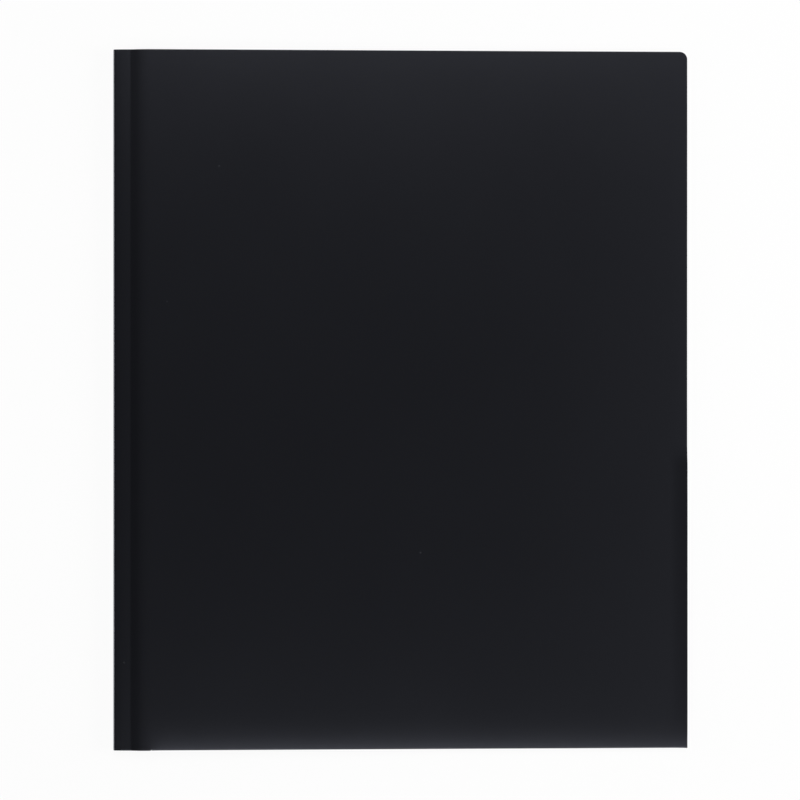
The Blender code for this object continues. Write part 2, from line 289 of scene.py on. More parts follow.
class FolderFinish(bpy.types.PropertyGroup):
    """Colours and surfaces."""

    cover: colour("Cover", "Colour of the folder's poly", (0.0036, 0.0038, 0.0049))
    strip: colour("Strip", "Colour of the fastener strip's poly", (0.0040, 0.0042, 0.0053))
    sheen: colour("Sheen", "Tint of the poly's gloss", (0.80, 0.835, 1.0))
    steel: colour("Steel", "Colour of the tin-plated steel", (0.80, 0.79, 0.77))
    # The cut edges' lighter grey: partly scuffing, partly a painted highlight where the edges catch the light
    scuffed_and_highlit: colour("Scuffed edge", "Colour of the poly where a cut edge is scuffed", (0.045, 0.046, 0.050))
    lint: colour("Lint", "Colour of the few specks of lint", (0.027, 0.028, 0.031))
    poly_gloss: share("Poly gloss", "Strength of the poly's gloss", 0.55)
    poly_roughness: share("Poly roughness", "Roughness of the satin poly", 0.25)
    steel_roughness: share("Steel roughness", "Roughness of the tinned steel", 0.42)
    grain_size: length("Grain size", "Size of the poly's fine grain", 0.35 * MM)
    grain_height: length("Grain height", "Height of the poly's fine grain", 0.006 * MM)
    streak_height: length("Streak height", "Height of the steel's rolling streaks", 0.003 * MM)


class FolderStudio(bpy.types.PropertyGroup):
    """Camera, floor and lights."""

    camera_height: length("Camera height", "Height of the camera above the front cover", 0.60)
    camera_aside: length("Camera aside", "How far the camera stands towards the spine", 7.85 * MM)
    camera_lean: angle("Camera lean", "How far the camera leans towards the free edge", math.radians(0.7))
    picture_width: length("Picture width", "Width of the picture at the front cover", 0.3334)
    floor: colour("Floor", "Colour of the floor", (0.90, 0.90, 0.90))
    floor_glow: share("Floor glow", "Share of plain white that the floor shows to the camera", 0.92)
    surround: colour("Surround", "Light from above, between the lamps", (0.012, 0.012, 0.012))
    walls: colour("Walls", "Light from the horizon", (0.40, 0.40, 0.40))
    top_power: power("Top lamp", "Power of the lamp beyond the top edge", 6.1)
    bottom_power: power("Bottom lamp", "Power of the lamp beyond the bottom edge", 3.1)
    right_power: power("Right lamp", "Power of the low lamp beyond the free edge", 12.0)
    left_power: power("Left lamp", "Power of the very low lamp beyond the spine", 6.0)
    ceiling_power: power("Ceiling", "Power of the dim panel above the folder", 0.55)
    ceiling_side_power: power("Ceiling side", "Power of the brighter panel to the right of it", 0.62)


# Shaping by hand: small steps that act on the piece in edit mode


def begin_plane(name, low, high, level):
    """Adds a flat sheet between two corners at a level, ready to be edited, with nothing else selected."""
    bpy.ops.object.select_all(action="DESELECT")
    middle = ((low[0] + high[0]) / 2, (low[1] + high[1]) / 2, level)
    bpy.ops.mesh.primitive_plane_add(size=1.0, location=middle)
    piece = bpy.context.object
    piece.name = name
    piece.data.name = name
    piece.scale = (high[0] - low[0], high[1] - low[1], 1.0)
    bpy.ops.object.transform_apply(location=True, rotation=True, scale=True)
    bpy.ops.object.mode_set(mode="EDIT")
    return piece


def at(x=None, y=None, z=None):
    """A test for points that lie at the given coordinates."""
    wanted = [(axis, value) for axis, value in enumerate((x, y, z)) if value is not None]
    return lambda point: all(abs(point[axis] - value) < NEAR for axis, value in wanted)


def between(low, high):
    """A test for points inside a rectangle of X and Y, its border included."""
    def test(point):
        return all(low[axis] - NEAR < point[axis] < high[axis] + NEAR for axis in (0, 1))
    return test


def select(piece, kind, test):
    """Selects vertices, edges by both ends, or faces by their middles, where their place passes a test."""
    bpy.ops.mesh.select_mode(type=kind)
    bpy.ops.mesh.select_all(action="DESELECT")
    mesh = bmesh.from_edit_mesh(piece.data)
    if kind == "VERT":
        places = [(vert, [vert.co]) for vert in mesh.verts]
    elif kind == "EDGE":
        places = [(edge, [vert.co for vert in edge.verts]) for edge in mesh.edges]
    else:
        places = [(face, [face.calc_center_median()]) for face in mesh.faces]
    found = 0
    for item, points in places:
        if all(test(point) for point in points):
            item.select_set(True)
            found += 1
    if not found:
        raise RuntimeError(f"{piece.name} has nothing to select there")
    mesh.select_flush_mode()
    bmesh.update_edit_mesh(piece.data)


def extrude(x=0.0, y=0.0, z=0.0):
    """Extrudes what is selected by a step along each axis."""
    bpy.ops.mesh.extrude_region_move(TRANSFORM_OT_translate={"value": (x, y, z)})


def slice_across(axis, places):
    """Cuts new edges across the whole piece, at each place along an axis."""
    normal = [1.0 if index == axis else 0.0 for index in range(3)]
    for place in places:
        bpy.ops.mesh.select_all(action="SELECT")
        bpy.ops.mesh.bisect(plane_co=[place * part for part in normal], plane_no=normal, threshold=NEAR)


def spread(low, high, step):
    """Evenly spaced places between two ends, about a step apart, ends left out."""
    count = max(1, round((high - low) / step))
    return [low + (high - low) * index / count for index in range(1, count)]


def round_corner(piece, place, radius):
    """Rounds the corner of a flat sheet at a place."""
    select(piece, "VERT", at(*place))
    bpy.ops.mesh.bevel(offset=radius, segments=CORNER_STEPS, profile=0.5, affect="VERTICES")


def move_points(piece, shift):
    """Moves each point by what shift gives for its place."""
    mesh = bmesh.from_edit_mesh(piece.data)
    for vert in mesh.verts:
        vert.co += shift(vert.co)
    bmesh.update_edit_mesh(piece.data)


def face_outwards(piece, place, direction):
    """Makes a sheet's faces agree, so that the one nearest a place looks in the given direction."""
    bpy.ops.mesh.select_all(action="SELECT")
    bpy.ops.mesh.normals_make_consistent(inside=False)
    mesh = bmesh.from_edit_mesh(piece.data)
    nearest = min(mesh.faces, key=lambda face: (face.calc_center_median() - Vector(place)).length)
    if nearest.normal.dot(Vector(direction)) < 0:
        bpy.ops.mesh.flip_normals()


def thicken(piece, thickness):
    """Gives a sheet its wall, inward from the face that was drawn, and leaves edit mode."""
    bpy.ops.object.mode_set(mode="OBJECT")
    wall = piece.modifiers.new("wall", "SOLIDIFY")
    wall.thickness = thickness
    wall.offset = -1.0
    wall.use_even_offset = True
    bpy.ops.object.modifier_apply(modifier=wall.name)


def round_cut_edges(piece, radius, test):
    """Rounds a thickened sheet's sharp edges whose middles pass a test, marked for wear and a painted highlight.
    """
    bpy.ops.object.mode_set(mode="EDIT")
    bpy.ops.mesh.select_mode(type="EDGE")
    bpy.ops.mesh.select_all(action="DESELECT")
    mesh = bmesh.from_edit_mesh(piece.data)
    for edge in mesh.edges:
        sharp = edge.is_manifold and edge.calc_face_angle() > CUT_EDGE_ANGLE
        if sharp and test((edge.verts[0].co + edge.verts[1].co) / 2):
            edge.select_set(True)
    bmesh.update_edit_mesh(piece.data)
    bpy.ops.mesh.bevel(
        offset=radius, segments=EDGE_ROUND_STEPS, affect="EDGES", clamp_overlap=False, loop_slide=False
    )
    mesh = bmesh.from_edit_mesh(piece.data)
    # Marks the rounded cut edges for their lighter colour, partly wear and partly painted highlight
    wear_and_highlight = mesh.verts.layers.float.new("edge_wear")
    for vert in mesh.verts:
        vert[wear_and_highlight] = float(all(face.select for face in vert.link_faces))
    bmesh.update_edit_mesh(piece.data)
    bpy.ops.mesh.select_all(action="SELECT")
    bpy.ops.mesh.dissolve_degenerate(threshold=TOO_SHORT)
    bpy.ops.object.mode_set(mode="OBJECT")


def pick(piece):
    """Makes a piece the only one selected, and the one that operators act on."""
    bpy.ops.object.select_all(action="DESELECT")
    piece.select_set(True)
    bpy.context.view_layer.objects.active = piece


def finish_piece(piece, material):
    """Shades a piece, keeps its points' places at rest for its patterns, and gives it its finish."""
    pick(piece)
    bpy.ops.object.shade_smooth_by_angle(angle=SMOOTH_ANGLE)
    flats = piece.modifiers.new("flats", "WEIGHTED_NORMAL")
    flats.keep_sharp = True
    bpy.ops.object.modifier_apply(modifier=flats.name)
    rest = piece.data.attributes.new("rest_place", "FLOAT_VECTOR", "POINT")
    for vert in piece.data.vertices:
        rest.data[vert.index].vector = vert.co
    piece.data.materials.clear()
    piece.data.materials.append(material)


def ease(value):
    """Nought to one, with a soft start and a soft end."""
    held = min(1.0, max(0.0, value))
    return held * held * (3 - 2 * held)


# The bent sheets


def swell(part, steady):
    """The share of a cover's rise reached at a part of its swell: a steady slope that then eases out."""
    if part < steady:
        return 2 * part / (1 + steady)
    return 1 - (1 - part) ** 2 / (1 - steady ** 2)


def strip_levels(sheet, start, end, steps):
    """Places along the bowed hinge strip between two X: each X and how far it lies below the crease."""
    reach = CREASE_X - SPINE_X - sheet.fold_radius
    places = [start + (end - start) * step / steps for step in range(steps + 1)]
    return [(x, sheet.strip_camber * ((CREASE_X - x) / reach) ** 2) for x in places]


def front_strip_level(sheet):
    """Level of the front hinge strip at its crease, for a cover whose face stays where the frame has it."""
    return FRONT_STRIP_Z + BACK_STRIP_Z - sheet.front_rise


def extrude_strip(levels, outward):
    """Carries the selected edge along a hinge strip."""
    for (old_x, old_fall), (new_x, new_fall) in zip(levels, levels[1:]):
        extrude(x=new_x - old_x, z=-outward * (new_fall - old_fall))


def turn_spine_fold(sheet, level, outward):
    """Turns the selected edge of a hinge strip through a square fold, and on to the spine's middle."""
    centre_z = level - outward * sheet.fold_radius
    bpy.ops.mesh.spin(
        steps=SPINE_FOLD_STEPS,
        angle=outward * math.pi / 2,
        center=(SPINE_X + sheet.fold_radius, 0.0, centre_z),
        axis=(0.0, 1.0, 0.0),
    )
    extrude(z=SPINE_SEAM_Z - centre_z)


def leaf_settling(sheet, face, outward):
    """How each point of a flat leaf moves: its bottom roll, its welded free edge and slow waves."""
    inner = face - outward * LEAF
    on_front = outward > 0
    droop = sheet.roll_droop if on_front else 0.0
    roll_start = CREASE_X + sheet.crease_swell / 2
    weld_x = FREE_X - sheet.weld_inset

    def rolled(point):
        """The share of the roll at the bottom fold, which grows from the crease's swell onwards."""
        near_fold = min(1.0, max(0.0, 1 - (point.y - FOLD_Y) / sheet.roll_length))
        return near_fold ** 3 * ease((point.x - roll_start) / sheet.roll_fade)

    def welded(point):
        """Depth of the side weld, a round groove that fades out at both ends."""
        across = min(1.0, abs(point.x - weld_x) / (sheet.weld_width / 2))
        above_fold = ease((point.y - FOLD_Y) / sheet.weld_fade)
        below_top = ease((POCKET_TOP - point.y) / sheet.weld_fade)
        pressed = above_fold * below_top * (1 - rolled(point))
        return sheet.weld_depth * math.cos(across * math.pi / 2) ** 2 * pressed

    def curled(point):
        """Lift of the free edge, which curls up along the weld and droops above the pocket."""
        near_edge = max(0.0, 1 - (FREE_X - point.x) / sheet.curl_width)
        beside_pocket = ease((POCKET_TOP - point.y) / sheet.curl_fade + 0.5)
        lift = sheet.curl_height * beside_pocket - sheet.edge_droop * (1 - beside_pocket)
        return near_edge ** 2 * lift

    def waved(point):
        """Height of the slow waves, which leave the hinge side calm."""
        grown = ease((point.x - POCKET_X) / sheet.wave_fade)
        slow = math.sin(WAVES[0].dot(point) + outward) + math.sin(WAVES[1].dot(point) - outward)
        return grown * sheet.wave_height / 2 * slow

    def shift(point):
        height = (point.z - inner) * outward
        move = -(sheet.roll_depth * height / LEAF + droop) * rolled(point)
        if height < LEAF / 2:
            move += welded(point)
        if on_front:
            move += curled(point)
        move += waved(point)
        return Vector((0.0, 0.0, outward * move))

    return shift


def draw_pocket(piece, sheet, face, outward):
    """Turns a cover's bottom edge round and up into its pocket, and rounds the corners of both."""
    inner = face - outward * LEAF
    select(piece, "EDGE", at(y=FOLD_Y))
    bpy.ops.mesh.spin(
        steps=FOLD_STEPS,
        angle=-outward * math.pi,
        center=(0.0, FOLD_Y, (face + inner) / 2),
        axis=(1.0, 0.0, 0.0),
    )
    extrude(y=POCKET_TOP - FOLD_Y)
    select(piece, "VERT", at(x=FREE_X, z=inner))
    bpy.ops.transform.translate(value=(-POCKET_EDGE_INSET, 0.0, 0.0))
    round_corner(piece, (FREE_X, TOP_Y, face), sheet.corner_radius)
    round_corner(piece, (POCKET_X, POCKET_TOP, inner), sheet.pocket_spine_radius)
    round_corner(piece, (FREE_X - POCKET_EDGE_INSET, POCKET_TOP, inner), sheet.pocket_edge_radius)


def draw_swell(piece, sheet, face, rise, outward):
    """Carries a cover on to its crease, and down to its bottom edge beside the slit at the fold's start."""
    select(piece, "EDGE", at(x=POCKET_X, z=face))
    extrude(x=CREASE_X + sheet.crease_swell - POCKET_X)
    parts = [step / CREASE_STEPS for step in range(CREASE_STEPS, -1, -1)]
    heights = [rise * swell(part, sheet.crease_steady) for part in parts]
    for high, low in zip(heights, heights[1:]):
        extrude(x=-sheet.crease_swell / CREASE_STEPS, z=-outward * (high - low))
    select(piece, "EDGE", lambda point: abs(point.y - FOLD_Y) < NEAR and point.x < POCKET_X + NEAR)
    extrude(y=-FOLD_RADIUS)
    select(piece, "VERT", at(x=POCKET_X, y=BOTTOM_Y, z=face))
    bpy.ops.transform.translate(value=(-sheet.slit_width, 0.0, 0.0))


def slice_leaf(sheet):
    """Cuts the lines on which a leaf rolls, curls and bows."""
    edge_lines = [POCKET_HIGH.x - EDGE_STEP * step for step in range(EDGE_STEPS, 0, -1)]
    grown_x = POCKET_X + sheet.roll_fade
    slice_across(0, spread(POCKET_X, grown_x, sheet.roll_fade / ROLL_FADE_STEPS) + [grown_x])
    slice_across(0, spread(grown_x, edge_lines[0], PANEL_STEP) + edge_lines)
    roll_parts = [(step / ROLL_STEPS) ** 2 for step in range(1, ROLL_STEPS + 1)]
    roll_lines = [FOLD_Y + sheet.roll_length * part for part in roll_parts]
    weld_lines = [POCKET_TOP - sheet.weld_fade * part for part in WELD_FADE_PARTS]
    curl_lines = [POCKET_TOP + sheet.curl_fade / 2 * part for part in CURL_FADE_PARTS]
    slice_across(1, roll_lines + weld_lines + curl_lines)
    slice_across(1, spread(roll_lines[-1], curl_lines[0], PANEL_STEP))
    slice_across(1, spread(curl_lines[-1], TOP_Y, PANEL_STEP))


def draw_leaf(name, sheet, face, rise, outward):
    """Draws a cover, its bottom fold and its pocket as one sheet, from the crease to the free edge.

    face is the level of the cover's outer face, which swells out by rise past the crease, and outward is
    1 if it looks up and -1 if it looks down."""
    piece = begin_plane(name, (POCKET_X, FOLD_Y), (FREE_X, TOP_Y), face)
    draw_pocket(piece, sheet, face, outward)
    draw_swell(piece, sheet, face, rise, outward)
    slice_leaf(sheet)
    move_points(piece, leaf_settling(sheet, face, outward))
    face_outwards(piece, (0.0, 0.0, face), (0.0, 0.0, outward))
    return piece


def soften_crease(piece, sheet, level):
    """Rounds the crease line between the hinge strip and the cover."""
    select(piece, "EDGE", at(x=CREASE_X, z=level))
    bpy.ops.mesh.bevel(offset=sheet.crease_softness, segments=CREASE_ROUND_STEPS, affect="EDGES")


def on_bottom_fold(point):
    """Whether a point is on the bottom fold, where the sheet has no cut edge along its length."""
    return point.y < FOLD_Y + FOLD_RADIUS and point.x > POCKET_X - SHEET


def on_spine_seam(point):
    """Whether a point is where the back leaf meets the spine sheet."""
    return abs(point.z - SPINE_SEAM_Z) < SEAM_NEAR and point.x < SPINE_X + 2 * SHEET


def on_strip_seam(point):
    """Whether a point is where the spine sheet meets the front leaf."""
    return abs(point.x - STRIP_SEAM_X) < SEAM_NEAR


def finish_sheet(piece, scene, *left_sharp):
    """Gives a drawn sheet its wall and finish, and rounds its cut edges except where they stay sharp."""
    sheet = scene.folder_sheet
    thicken(piece, sheet.thickness)
    round_cut_edges(piece, sheet.edge_round, lambda point: not any(test(point) for test in left_sharp))
    finish_piece(piece, poly_material("satin_sheet", scene.folder_finish.cover))


class FOLDER_OT_back_leaf(bpy.types.Operator):
    """Makes the back cover with its pocket, its hinge strip and the lower half of the spine"""

    bl_idname = "folder.back_leaf"
    bl_label = "Back leaf"

    def execute(self, context):
        sheet = context.scene.folder_sheet
        piece = draw_leaf("back_leaf", sheet, 0.0, BACK_STRIP_Z, -1)
        select(piece, "EDGE", at(x=CREASE_X, z=BACK_STRIP_Z))
        levels = strip_levels(sheet, CREASE_X, SPINE_X + sheet.fold_radius, 2 * STRIP_STEPS)
        extrude_strip(levels, -1)
        turn_spine_fold(sheet, BACK_STRIP_Z + levels[-1][1], -1)
        soften_crease(piece, sheet, BACK_STRIP_Z)
        face_outwards(piece, (0.0, 0.0, 0.0), (0.0, 0.0, -1.0))
        finish_sheet(piece, context.scene, on_bottom_fold, on_spine_seam)
        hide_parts("back_cover", "back_pocket_fold", "back_pocket")
        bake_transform(piece)
        return {"FINISHED"}


class FOLDER_OT_spine_sheet(bpy.types.Operator):
    """Makes the upper half of the spine and the first part of the front hinge strip"""

    bl_idname = "folder.spine_sheet"
    bl_label = "Spine sheet"

    def execute(self, context):
        sheet = context.scene.folder_sheet
        levels = strip_levels(sheet, STRIP_SEAM_X, SPINE_X + sheet.fold_radius, STRIP_STEPS)
        first_x, second_x = levels[0][0], levels[1][0]
        strip_z = front_strip_level(sheet)
        piece = begin_plane("spine_sheet", (second_x, BOTTOM_Y), (first_x, TOP_Y), strip_z)
        for place, fall in levels[:2]:
            select(piece, "VERT", at(x=place))
            bpy.ops.transform.translate(value=(0.0, 0.0, -fall))
        select(piece, "EDGE", at(x=second_x))
        extrude_strip(levels[1:], 1)
        turn_spine_fold(sheet, strip_z - levels[-1][1], 1)
        slice_across(1, spread(BOTTOM_Y, TOP_Y, SPINE_STEP))
        face_outwards(piece, (first_x, 0.0, strip_z), (0.0, 0.0, 1.0))
        finish_sheet(piece, context.scene, on_spine_seam, on_strip_seam)
        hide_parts("spine_panel", "front_hinge_strip")
        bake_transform(piece)
        return {"FINISHED"}


class FOLDER_OT_front_leaf(bpy.types.Operator):
    """Makes the front cover with its pocket and the rest of the front hinge strip"""

    bl_idname = "folder.front_leaf"
    bl_label = "Front leaf"

    def execute(self, context):
        sheet = context.scene.folder_sheet
        strip_z = front_strip_level(sheet)
        piece = draw_leaf("front_leaf", sheet, strip_z + sheet.front_rise, sheet.front_rise, 1)
        bpy.ops.mesh.select_all(action="SELECT")
        crease = (CREASE_X, 0.0, strip_z)
        bpy.ops.transform.rotate(value=-CLOSED_SLOPE, orient_axis="Y", center_override=crease)
        select(piece, "EDGE", at(x=CREASE_X, z=strip_z))
        extrude_strip(strip_levels(sheet, CREASE_X, STRIP_SEAM_X, STRIP_STEPS), 1)
        soften_crease(piece, sheet, strip_z)
        face_outwards(piece, (0.0, 0.0, CAD_HIGH.z), (0.0, 0.0, 1.0))
        finish_sheet(piece, context.scene, on_bottom_fold, on_strip_seam)
        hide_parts("front_cover", "front_pocket_fold", "front_pocket", "front_hinge_strip")
        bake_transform(piece)
        return {"FINISHED"}


# The fasteners


def bend_place(label, side):
    """Where a fastener's upper or lower prong bends."""
    return JOINTS[f"{label}_{side}_bend"]["pos_m"]


class FOLDER_OT_fastener_flap(bpy.types.Operator):
    """Makes the strip that carries the fasteners, with its weld spots and slots"""

    bl_idname = "folder.fastener_flap"
    bl_label = "Fastener flap"

    def execute(self, context):
        sheet = context.scene.folder_sheet
        sizes = context.scene.folder_fastener
        flange_end = FLAP_LOW.x + sizes.flange_width
        ramp_end = flange_end + sizes.ramp_length
        flange_top = FLAP_LOW.z + sheet.thickness
        low, high = (ramp_end, FLAP_LOW.y), (FLAP_HIGH.x, FLAP_HIGH.y)
        piece = begin_plane("fastener_flap", low, high, FLAP_HIGH.z)
        for end_y in (FLAP_LOW.y, FLAP_HIGH.y):
            round_corner(piece, (FLAP_HIGH.x, end_y, FLAP_HIGH.z), sizes.flap_corner)
        select(piece, "EDGE", at(x=ramp_end))
        for step in range(RAMP_STEPS):
            fall = ease((step + 1) / RAMP_STEPS) - ease(step / RAMP_STEPS)
            extrude(x=-sizes.ramp_length / RAMP_STEPS, z=-fall * (FLAP_HIGH.z - flange_top))
        extrude(x=-sizes.flange_width)
        self.cut_slots(piece, sizes)
        self.press_spots(piece, sizes, flange_end)
        face_outwards(piece, (ramp_end, 0.0, FLAP_HIGH.z), (0.0, 0.0, 1.0))
        thicken(piece, sheet.thickness)
        round_cut_edges(piece, sheet.edge_round, lambda point: True)
        finish_piece(piece, poly_material("satin_strip", context.scene.folder_finish.strip))
        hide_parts("fastener_strip")
        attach(piece, "back")
        return {"FINISHED"}

    def cut_slots(self, piece, sizes):
        """Cuts a slot round each fastener's stubs."""
        bend = PRONG_BEND_Z - STUB_TOP
        side_room = PRONG_WIDTH / 2 + sizes.slot_clearance
        for label in FASTENERS:
            low = (PRONG_X - side_room, bend_place(label, "lower")[1] + bend - sizes.slot_clearance)
            high = (PRONG_X + side_room, bend_place(label, "upper")[1] - bend + sizes.slot_clearance)
            slice_across(0, [low[0], high[0]])
            slice_across(1, [low[1], high[1]])
            select(piece, "FACE", between(low, high))
            bpy.ops.mesh.delete(type="FACE")

    def press_spots(self, piece, sizes, flange_end):
        """Presses a row of weld spots into the flange."""
        middle = (FLAP_LOW.x + flange_end) / 2
        slice_across(0, [middle - sizes.spot_width / 2, middle + sizes.spot_width / 2])
        count = int((FLAP_HIGH.y - FLAP_LOW.y) / sizes.spot_pitch)
        spots = [(index - (count - 1) / 2) * sizes.spot_pitch for index in range(count)]
        ends = [spot + side * sizes.spot_length / 2 for spot in spots for side in (-1, 1)]
        for end in ends:
            select(piece, "FACE", lambda point: point.x < flange_end + NEAR)
            bpy.ops.mesh.bisect(plane_co=(0.0, end, 0.0), plane_no=(0.0, 1.0, 0.0), threshold=NEAR)

        def in_a_spot(point):
            on_line = abs(point.x - middle) < sizes.spot_width / 2 + NEAR
            return on_line and any(abs(point.y - spot) < sizes.spot_length / 2 + NEAR for spot in spots)

        select(piece, "FACE", in_a_spot)
        wall = SPOT_WALL * sizes.spot_depth
        bpy.ops.mesh.inset(thickness=wall, depth=-sizes.spot_depth, use_individual=True)


class FOLDER_OT_prongs(bpy.types.Operator):
    """Makes the six prongs, each one bent flat from the top of its stub"""

    bl_idname = "folder.prongs"
    bl_label = "Prongs"

    def execute(self, context):
        sizes = context.scene.folder_fastener
        first = self.make_first(sizes)
        steel = steel_material("tinned_prong", context.scene.folder_finish, "rest_place")
        for label in FASTENERS:
            for side in ("upper", "lower"):
                piece = self.copy_to(first, label, side)
                finish_piece(piece, steel)
                self.join(piece, label, side, sizes)
        bpy.data.objects.remove(first, do_unlink=True)
        return {"FINISHED"}

    def make_first(self, sizes):
        """Shapes one prong, where the upper prong of the top fastener lies."""
        half = PRONG_WIDTH / 2
        low, high = (PRONG_X - half, PRONG_BEND_Y), (PRONG_X + half, PRONG_HIGH.y)
        piece = begin_plane("prong", low, high, PRONG_HIGH.z)
        select(piece, "EDGE", at(y=PRONG_HIGH.y))
        narrowed = sizes.tip_width / PRONG_WIDTH
        tip = (PRONG_X, PRONG_HIGH.y, PRONG_HIGH.z)
        bpy.ops.transform.resize(value=(narrowed, 1.0, 1.0), center_override=tip)
        for side in (-1, 1):
            corner = (PRONG_X + side * sizes.tip_width / 2, PRONG_HIGH.y, PRONG_HIGH.z)
            round_corner(piece, corner, TIP_CORNER * sizes.tip_width)
        select(piece, "EDGE", at(y=PRONG_BEND_Y))
        bpy.ops.mesh.spin(
            steps=PRONG_TURN_STEPS,
            angle=-math.pi / 2,
            center=(PRONG_X, PRONG_BEND_Y, PRONG_BEND_Z),
            axis=(1.0, 0.0, 0.0),
        )
        extrude(z=STUB_TOP - PRONG_BEND_Z)
        give = sizes.bend_reach / PRONG_GIVE_STEPS
        slice_across(1, [PRONG_BEND_Y + give * step for step in range(1, PRONG_GIVE_STEPS + 2)])
        face_outwards(piece, tip, (0.0, 0.0, 1.0))
        thicken(piece, METAL)
        round_cut_edges(piece, sizes.edge_round, lambda point: point.z > STUB_TOP + NEAR)
        return piece

    def copy_to(self, first, label, side):
        """Copies the first prong to a fastener, turned about the fastener's middle for the lower side."""
        pick(first)
        bpy.ops.object.duplicate(linked=False)
        piece = bpy.context.object
        piece.name = f"prong_{label}_{side}_tongue"
        piece.data.name = piece.name
        top_middle = self.middle_of("top")
        if side == "lower":
            centre = (PRONG_X, top_middle, PRONG_BEND_Z)
            bpy.ops.transform.rotate(value=math.pi, orient_axis="Z", center_override=centre)
        bpy.ops.transform.translate(value=(0.0, self.middle_of(label) - top_middle, 0.0))
        bpy.ops.object.transform_apply(location=True, rotation=True, scale=True)
        return piece

    def middle_of(self, label):
        """A fastener's place up the page, midway between its two bends."""
        return (bend_place(label, "upper")[1] + bend_place(label, "lower")[1]) / 2

    def join(self, piece, label, side, sizes):
        """Hides the prong's part in the frame, and bakes the prong's place into its points."""
        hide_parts(f"prong_{label}_{side}")
        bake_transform(piece)


class FOLDER_OT_crowns(bpy.types.Operator):
    """Gives the fasteners' crowns their tinned finish"""

    bl_idname = "folder.crowns"
    bl_label = "Fastener crowns"

    def execute(self, context):
        steel = steel_material("tinned_crown", context.scene.folder_finish)
        for label in FASTENERS:
            crown = frame["nodes"]["fastener_base_" + label]
            crown.data.materials.clear()
            crown.data.materials.append(steel)
        return {"FINISHED"}


# Finishes


def new_group(name, inputs, outputs):
    """An empty shader node group with its named sockets: the group, its input node and its output node."""
    group = bpy.data.node_groups.new(name, "ShaderNodeTree")
    for socket, kind in inputs:
        group.interface.new_socket(name=socket, in_out="INPUT", socket_type=kind)
    for socket, kind in outputs:
        group.interface.new_socket(name=socket, in_out="OUTPUT", socket_type=kind)
    return group, group.nodes.new("NodeGroupInput"), group.nodes.new("NodeGroupOutput")


def stretched_noise(group, place, pattern):
    """Noise over a place, after one of the patterns named above."""
    sizes, layers, turn = pattern
    turned = group.nodes.new("ShaderNodeMapping")
    turned.inputs["Rotation"].default_value = (0.0, 0.0, turn)
    scaled = group.nodes.new("ShaderNodeMapping")
    scaled.inputs["Scale"].default_value = [1 / size for size in sizes]
    noise = group.nodes.new("ShaderNodeTexNoise")
    noise.inputs["Scale"].default_value = 1.0
    noise.inputs["Detail"].default_value = layers
    group.links.new(place, turned.inputs["Vector"])
    group.links.new(turned.outputs["Vector"], scaled.inputs["Vector"])
    group.links.new(scaled.outputs["Vector"], noise.inputs["Vector"])
    return noise.outputs["Fac"]


def math_node(tree, operation, first, second):
    """A value worked out from two others, each a socket or a number."""
    node = tree.nodes.new("ShaderNodeMath")
    node.operation = operation
    for socket, value in zip(node.inputs, (first, second)):
        if isinstance(value, bpy.types.NodeSocket):
            tree.links.new(value, socket)
        else:
            socket.default_value = value
    return node.outputs["Value"]


def ranged(tree, value, span, new_span):
    """A value carried from one span to another, held within it."""
    node = tree.nodes.new("ShaderNodeMapRange")
    for socket, number in zip(("From Min", "From Max", "To Min", "To Max"), (*span, *new_span)):
        node.inputs[socket].default_value = number
    tree.links.new(value, node.inputs["Value"])
    return node.outputs["Result"]


def handling_group(name):
    """Slow clouding, rubbed streaks and a few lint specks, as on a handled sheet, and broken edge scuffing and
    painted highlight.
    """
    outputs = [(socket, "NodeSocketFloat") for socket in ("Clouding", "Rubbing", "Lint", "Scuffing")]
    group, entry, leave = new_group(name, [("Place", "NodeSocketVector")], outputs)
    place = entry.outputs["Place"]
    group.links.new(stretched_noise(group, place, CLOUDS), leave.inputs["Clouding"])
    streaks = stretched_noise(group, place, RUBBED_STREAKS)
    group.links.new(ranged(group, streaks, RUBBED_RANGE, (0.0, 1.0)), leave.inputs["Rubbing"])
    cells = group.nodes.new("ShaderNodeTexVoronoi")
    cells.inputs["Scale"].default_value = 1 / LINT_SPACING
    group.links.new(place, cells.inputs["Vector"])
    near = ranged(group, cells.outputs["Distance"], LINT_RADII, (1.0, 0.0))
    chosen = math_node(group, "GREATER_THAN", cells.outputs["Color"], LINT_THRESHOLD)
    group.links.new(math_node(group, "MULTIPLY", near, chosen), leave.inputs["Lint"])
    # Broken patches of the cut edges' lighter colour, partly scuffing and partly painted highlight
    broken = stretched_noise(group, place, SCUFF_AND_HIGHLIGHT_PATCHES)
    group.links.new(ranged(group, broken, SCUFF_AND_HIGHLIGHT_RANGE, (LEAST_SCUFF_AND_HIGHLIGHT, 1.0)), leave.inputs["Scuffing"])
    return group


def grain_group(name):
    """The fine matt grain that a rolled poly sheet has."""
    inputs = [("Place", "NodeSocketVector"), ("Fineness", "NodeSocketFloat")]
    group, entry, leave = new_group(name, inputs, [("Height", "NodeSocketFloat")])
    scaled = group.nodes.new("ShaderNodeVectorMath")
    scaled.operation = "SCALE"
    group.links.new(entry.outputs["Place"], scaled.inputs["Vector"])
    group.links.new(entry.outputs["Fineness"], scaled.inputs["Scale"])
    noise = group.nodes.new("ShaderNodeTexNoise")
    noise.inputs["Scale"].default_value = 1.0
    noise.inputs["Detail"].default_value = GRAIN_LAYERS
    noise.inputs["Roughness"].default_value = GRAIN_HARSHNESS
    group.links.new(scaled.outputs["Vector"], noise.inputs["Vector"])
    group.links.new(noise.outputs["Fac"], leave.inputs["Height"])
    return group


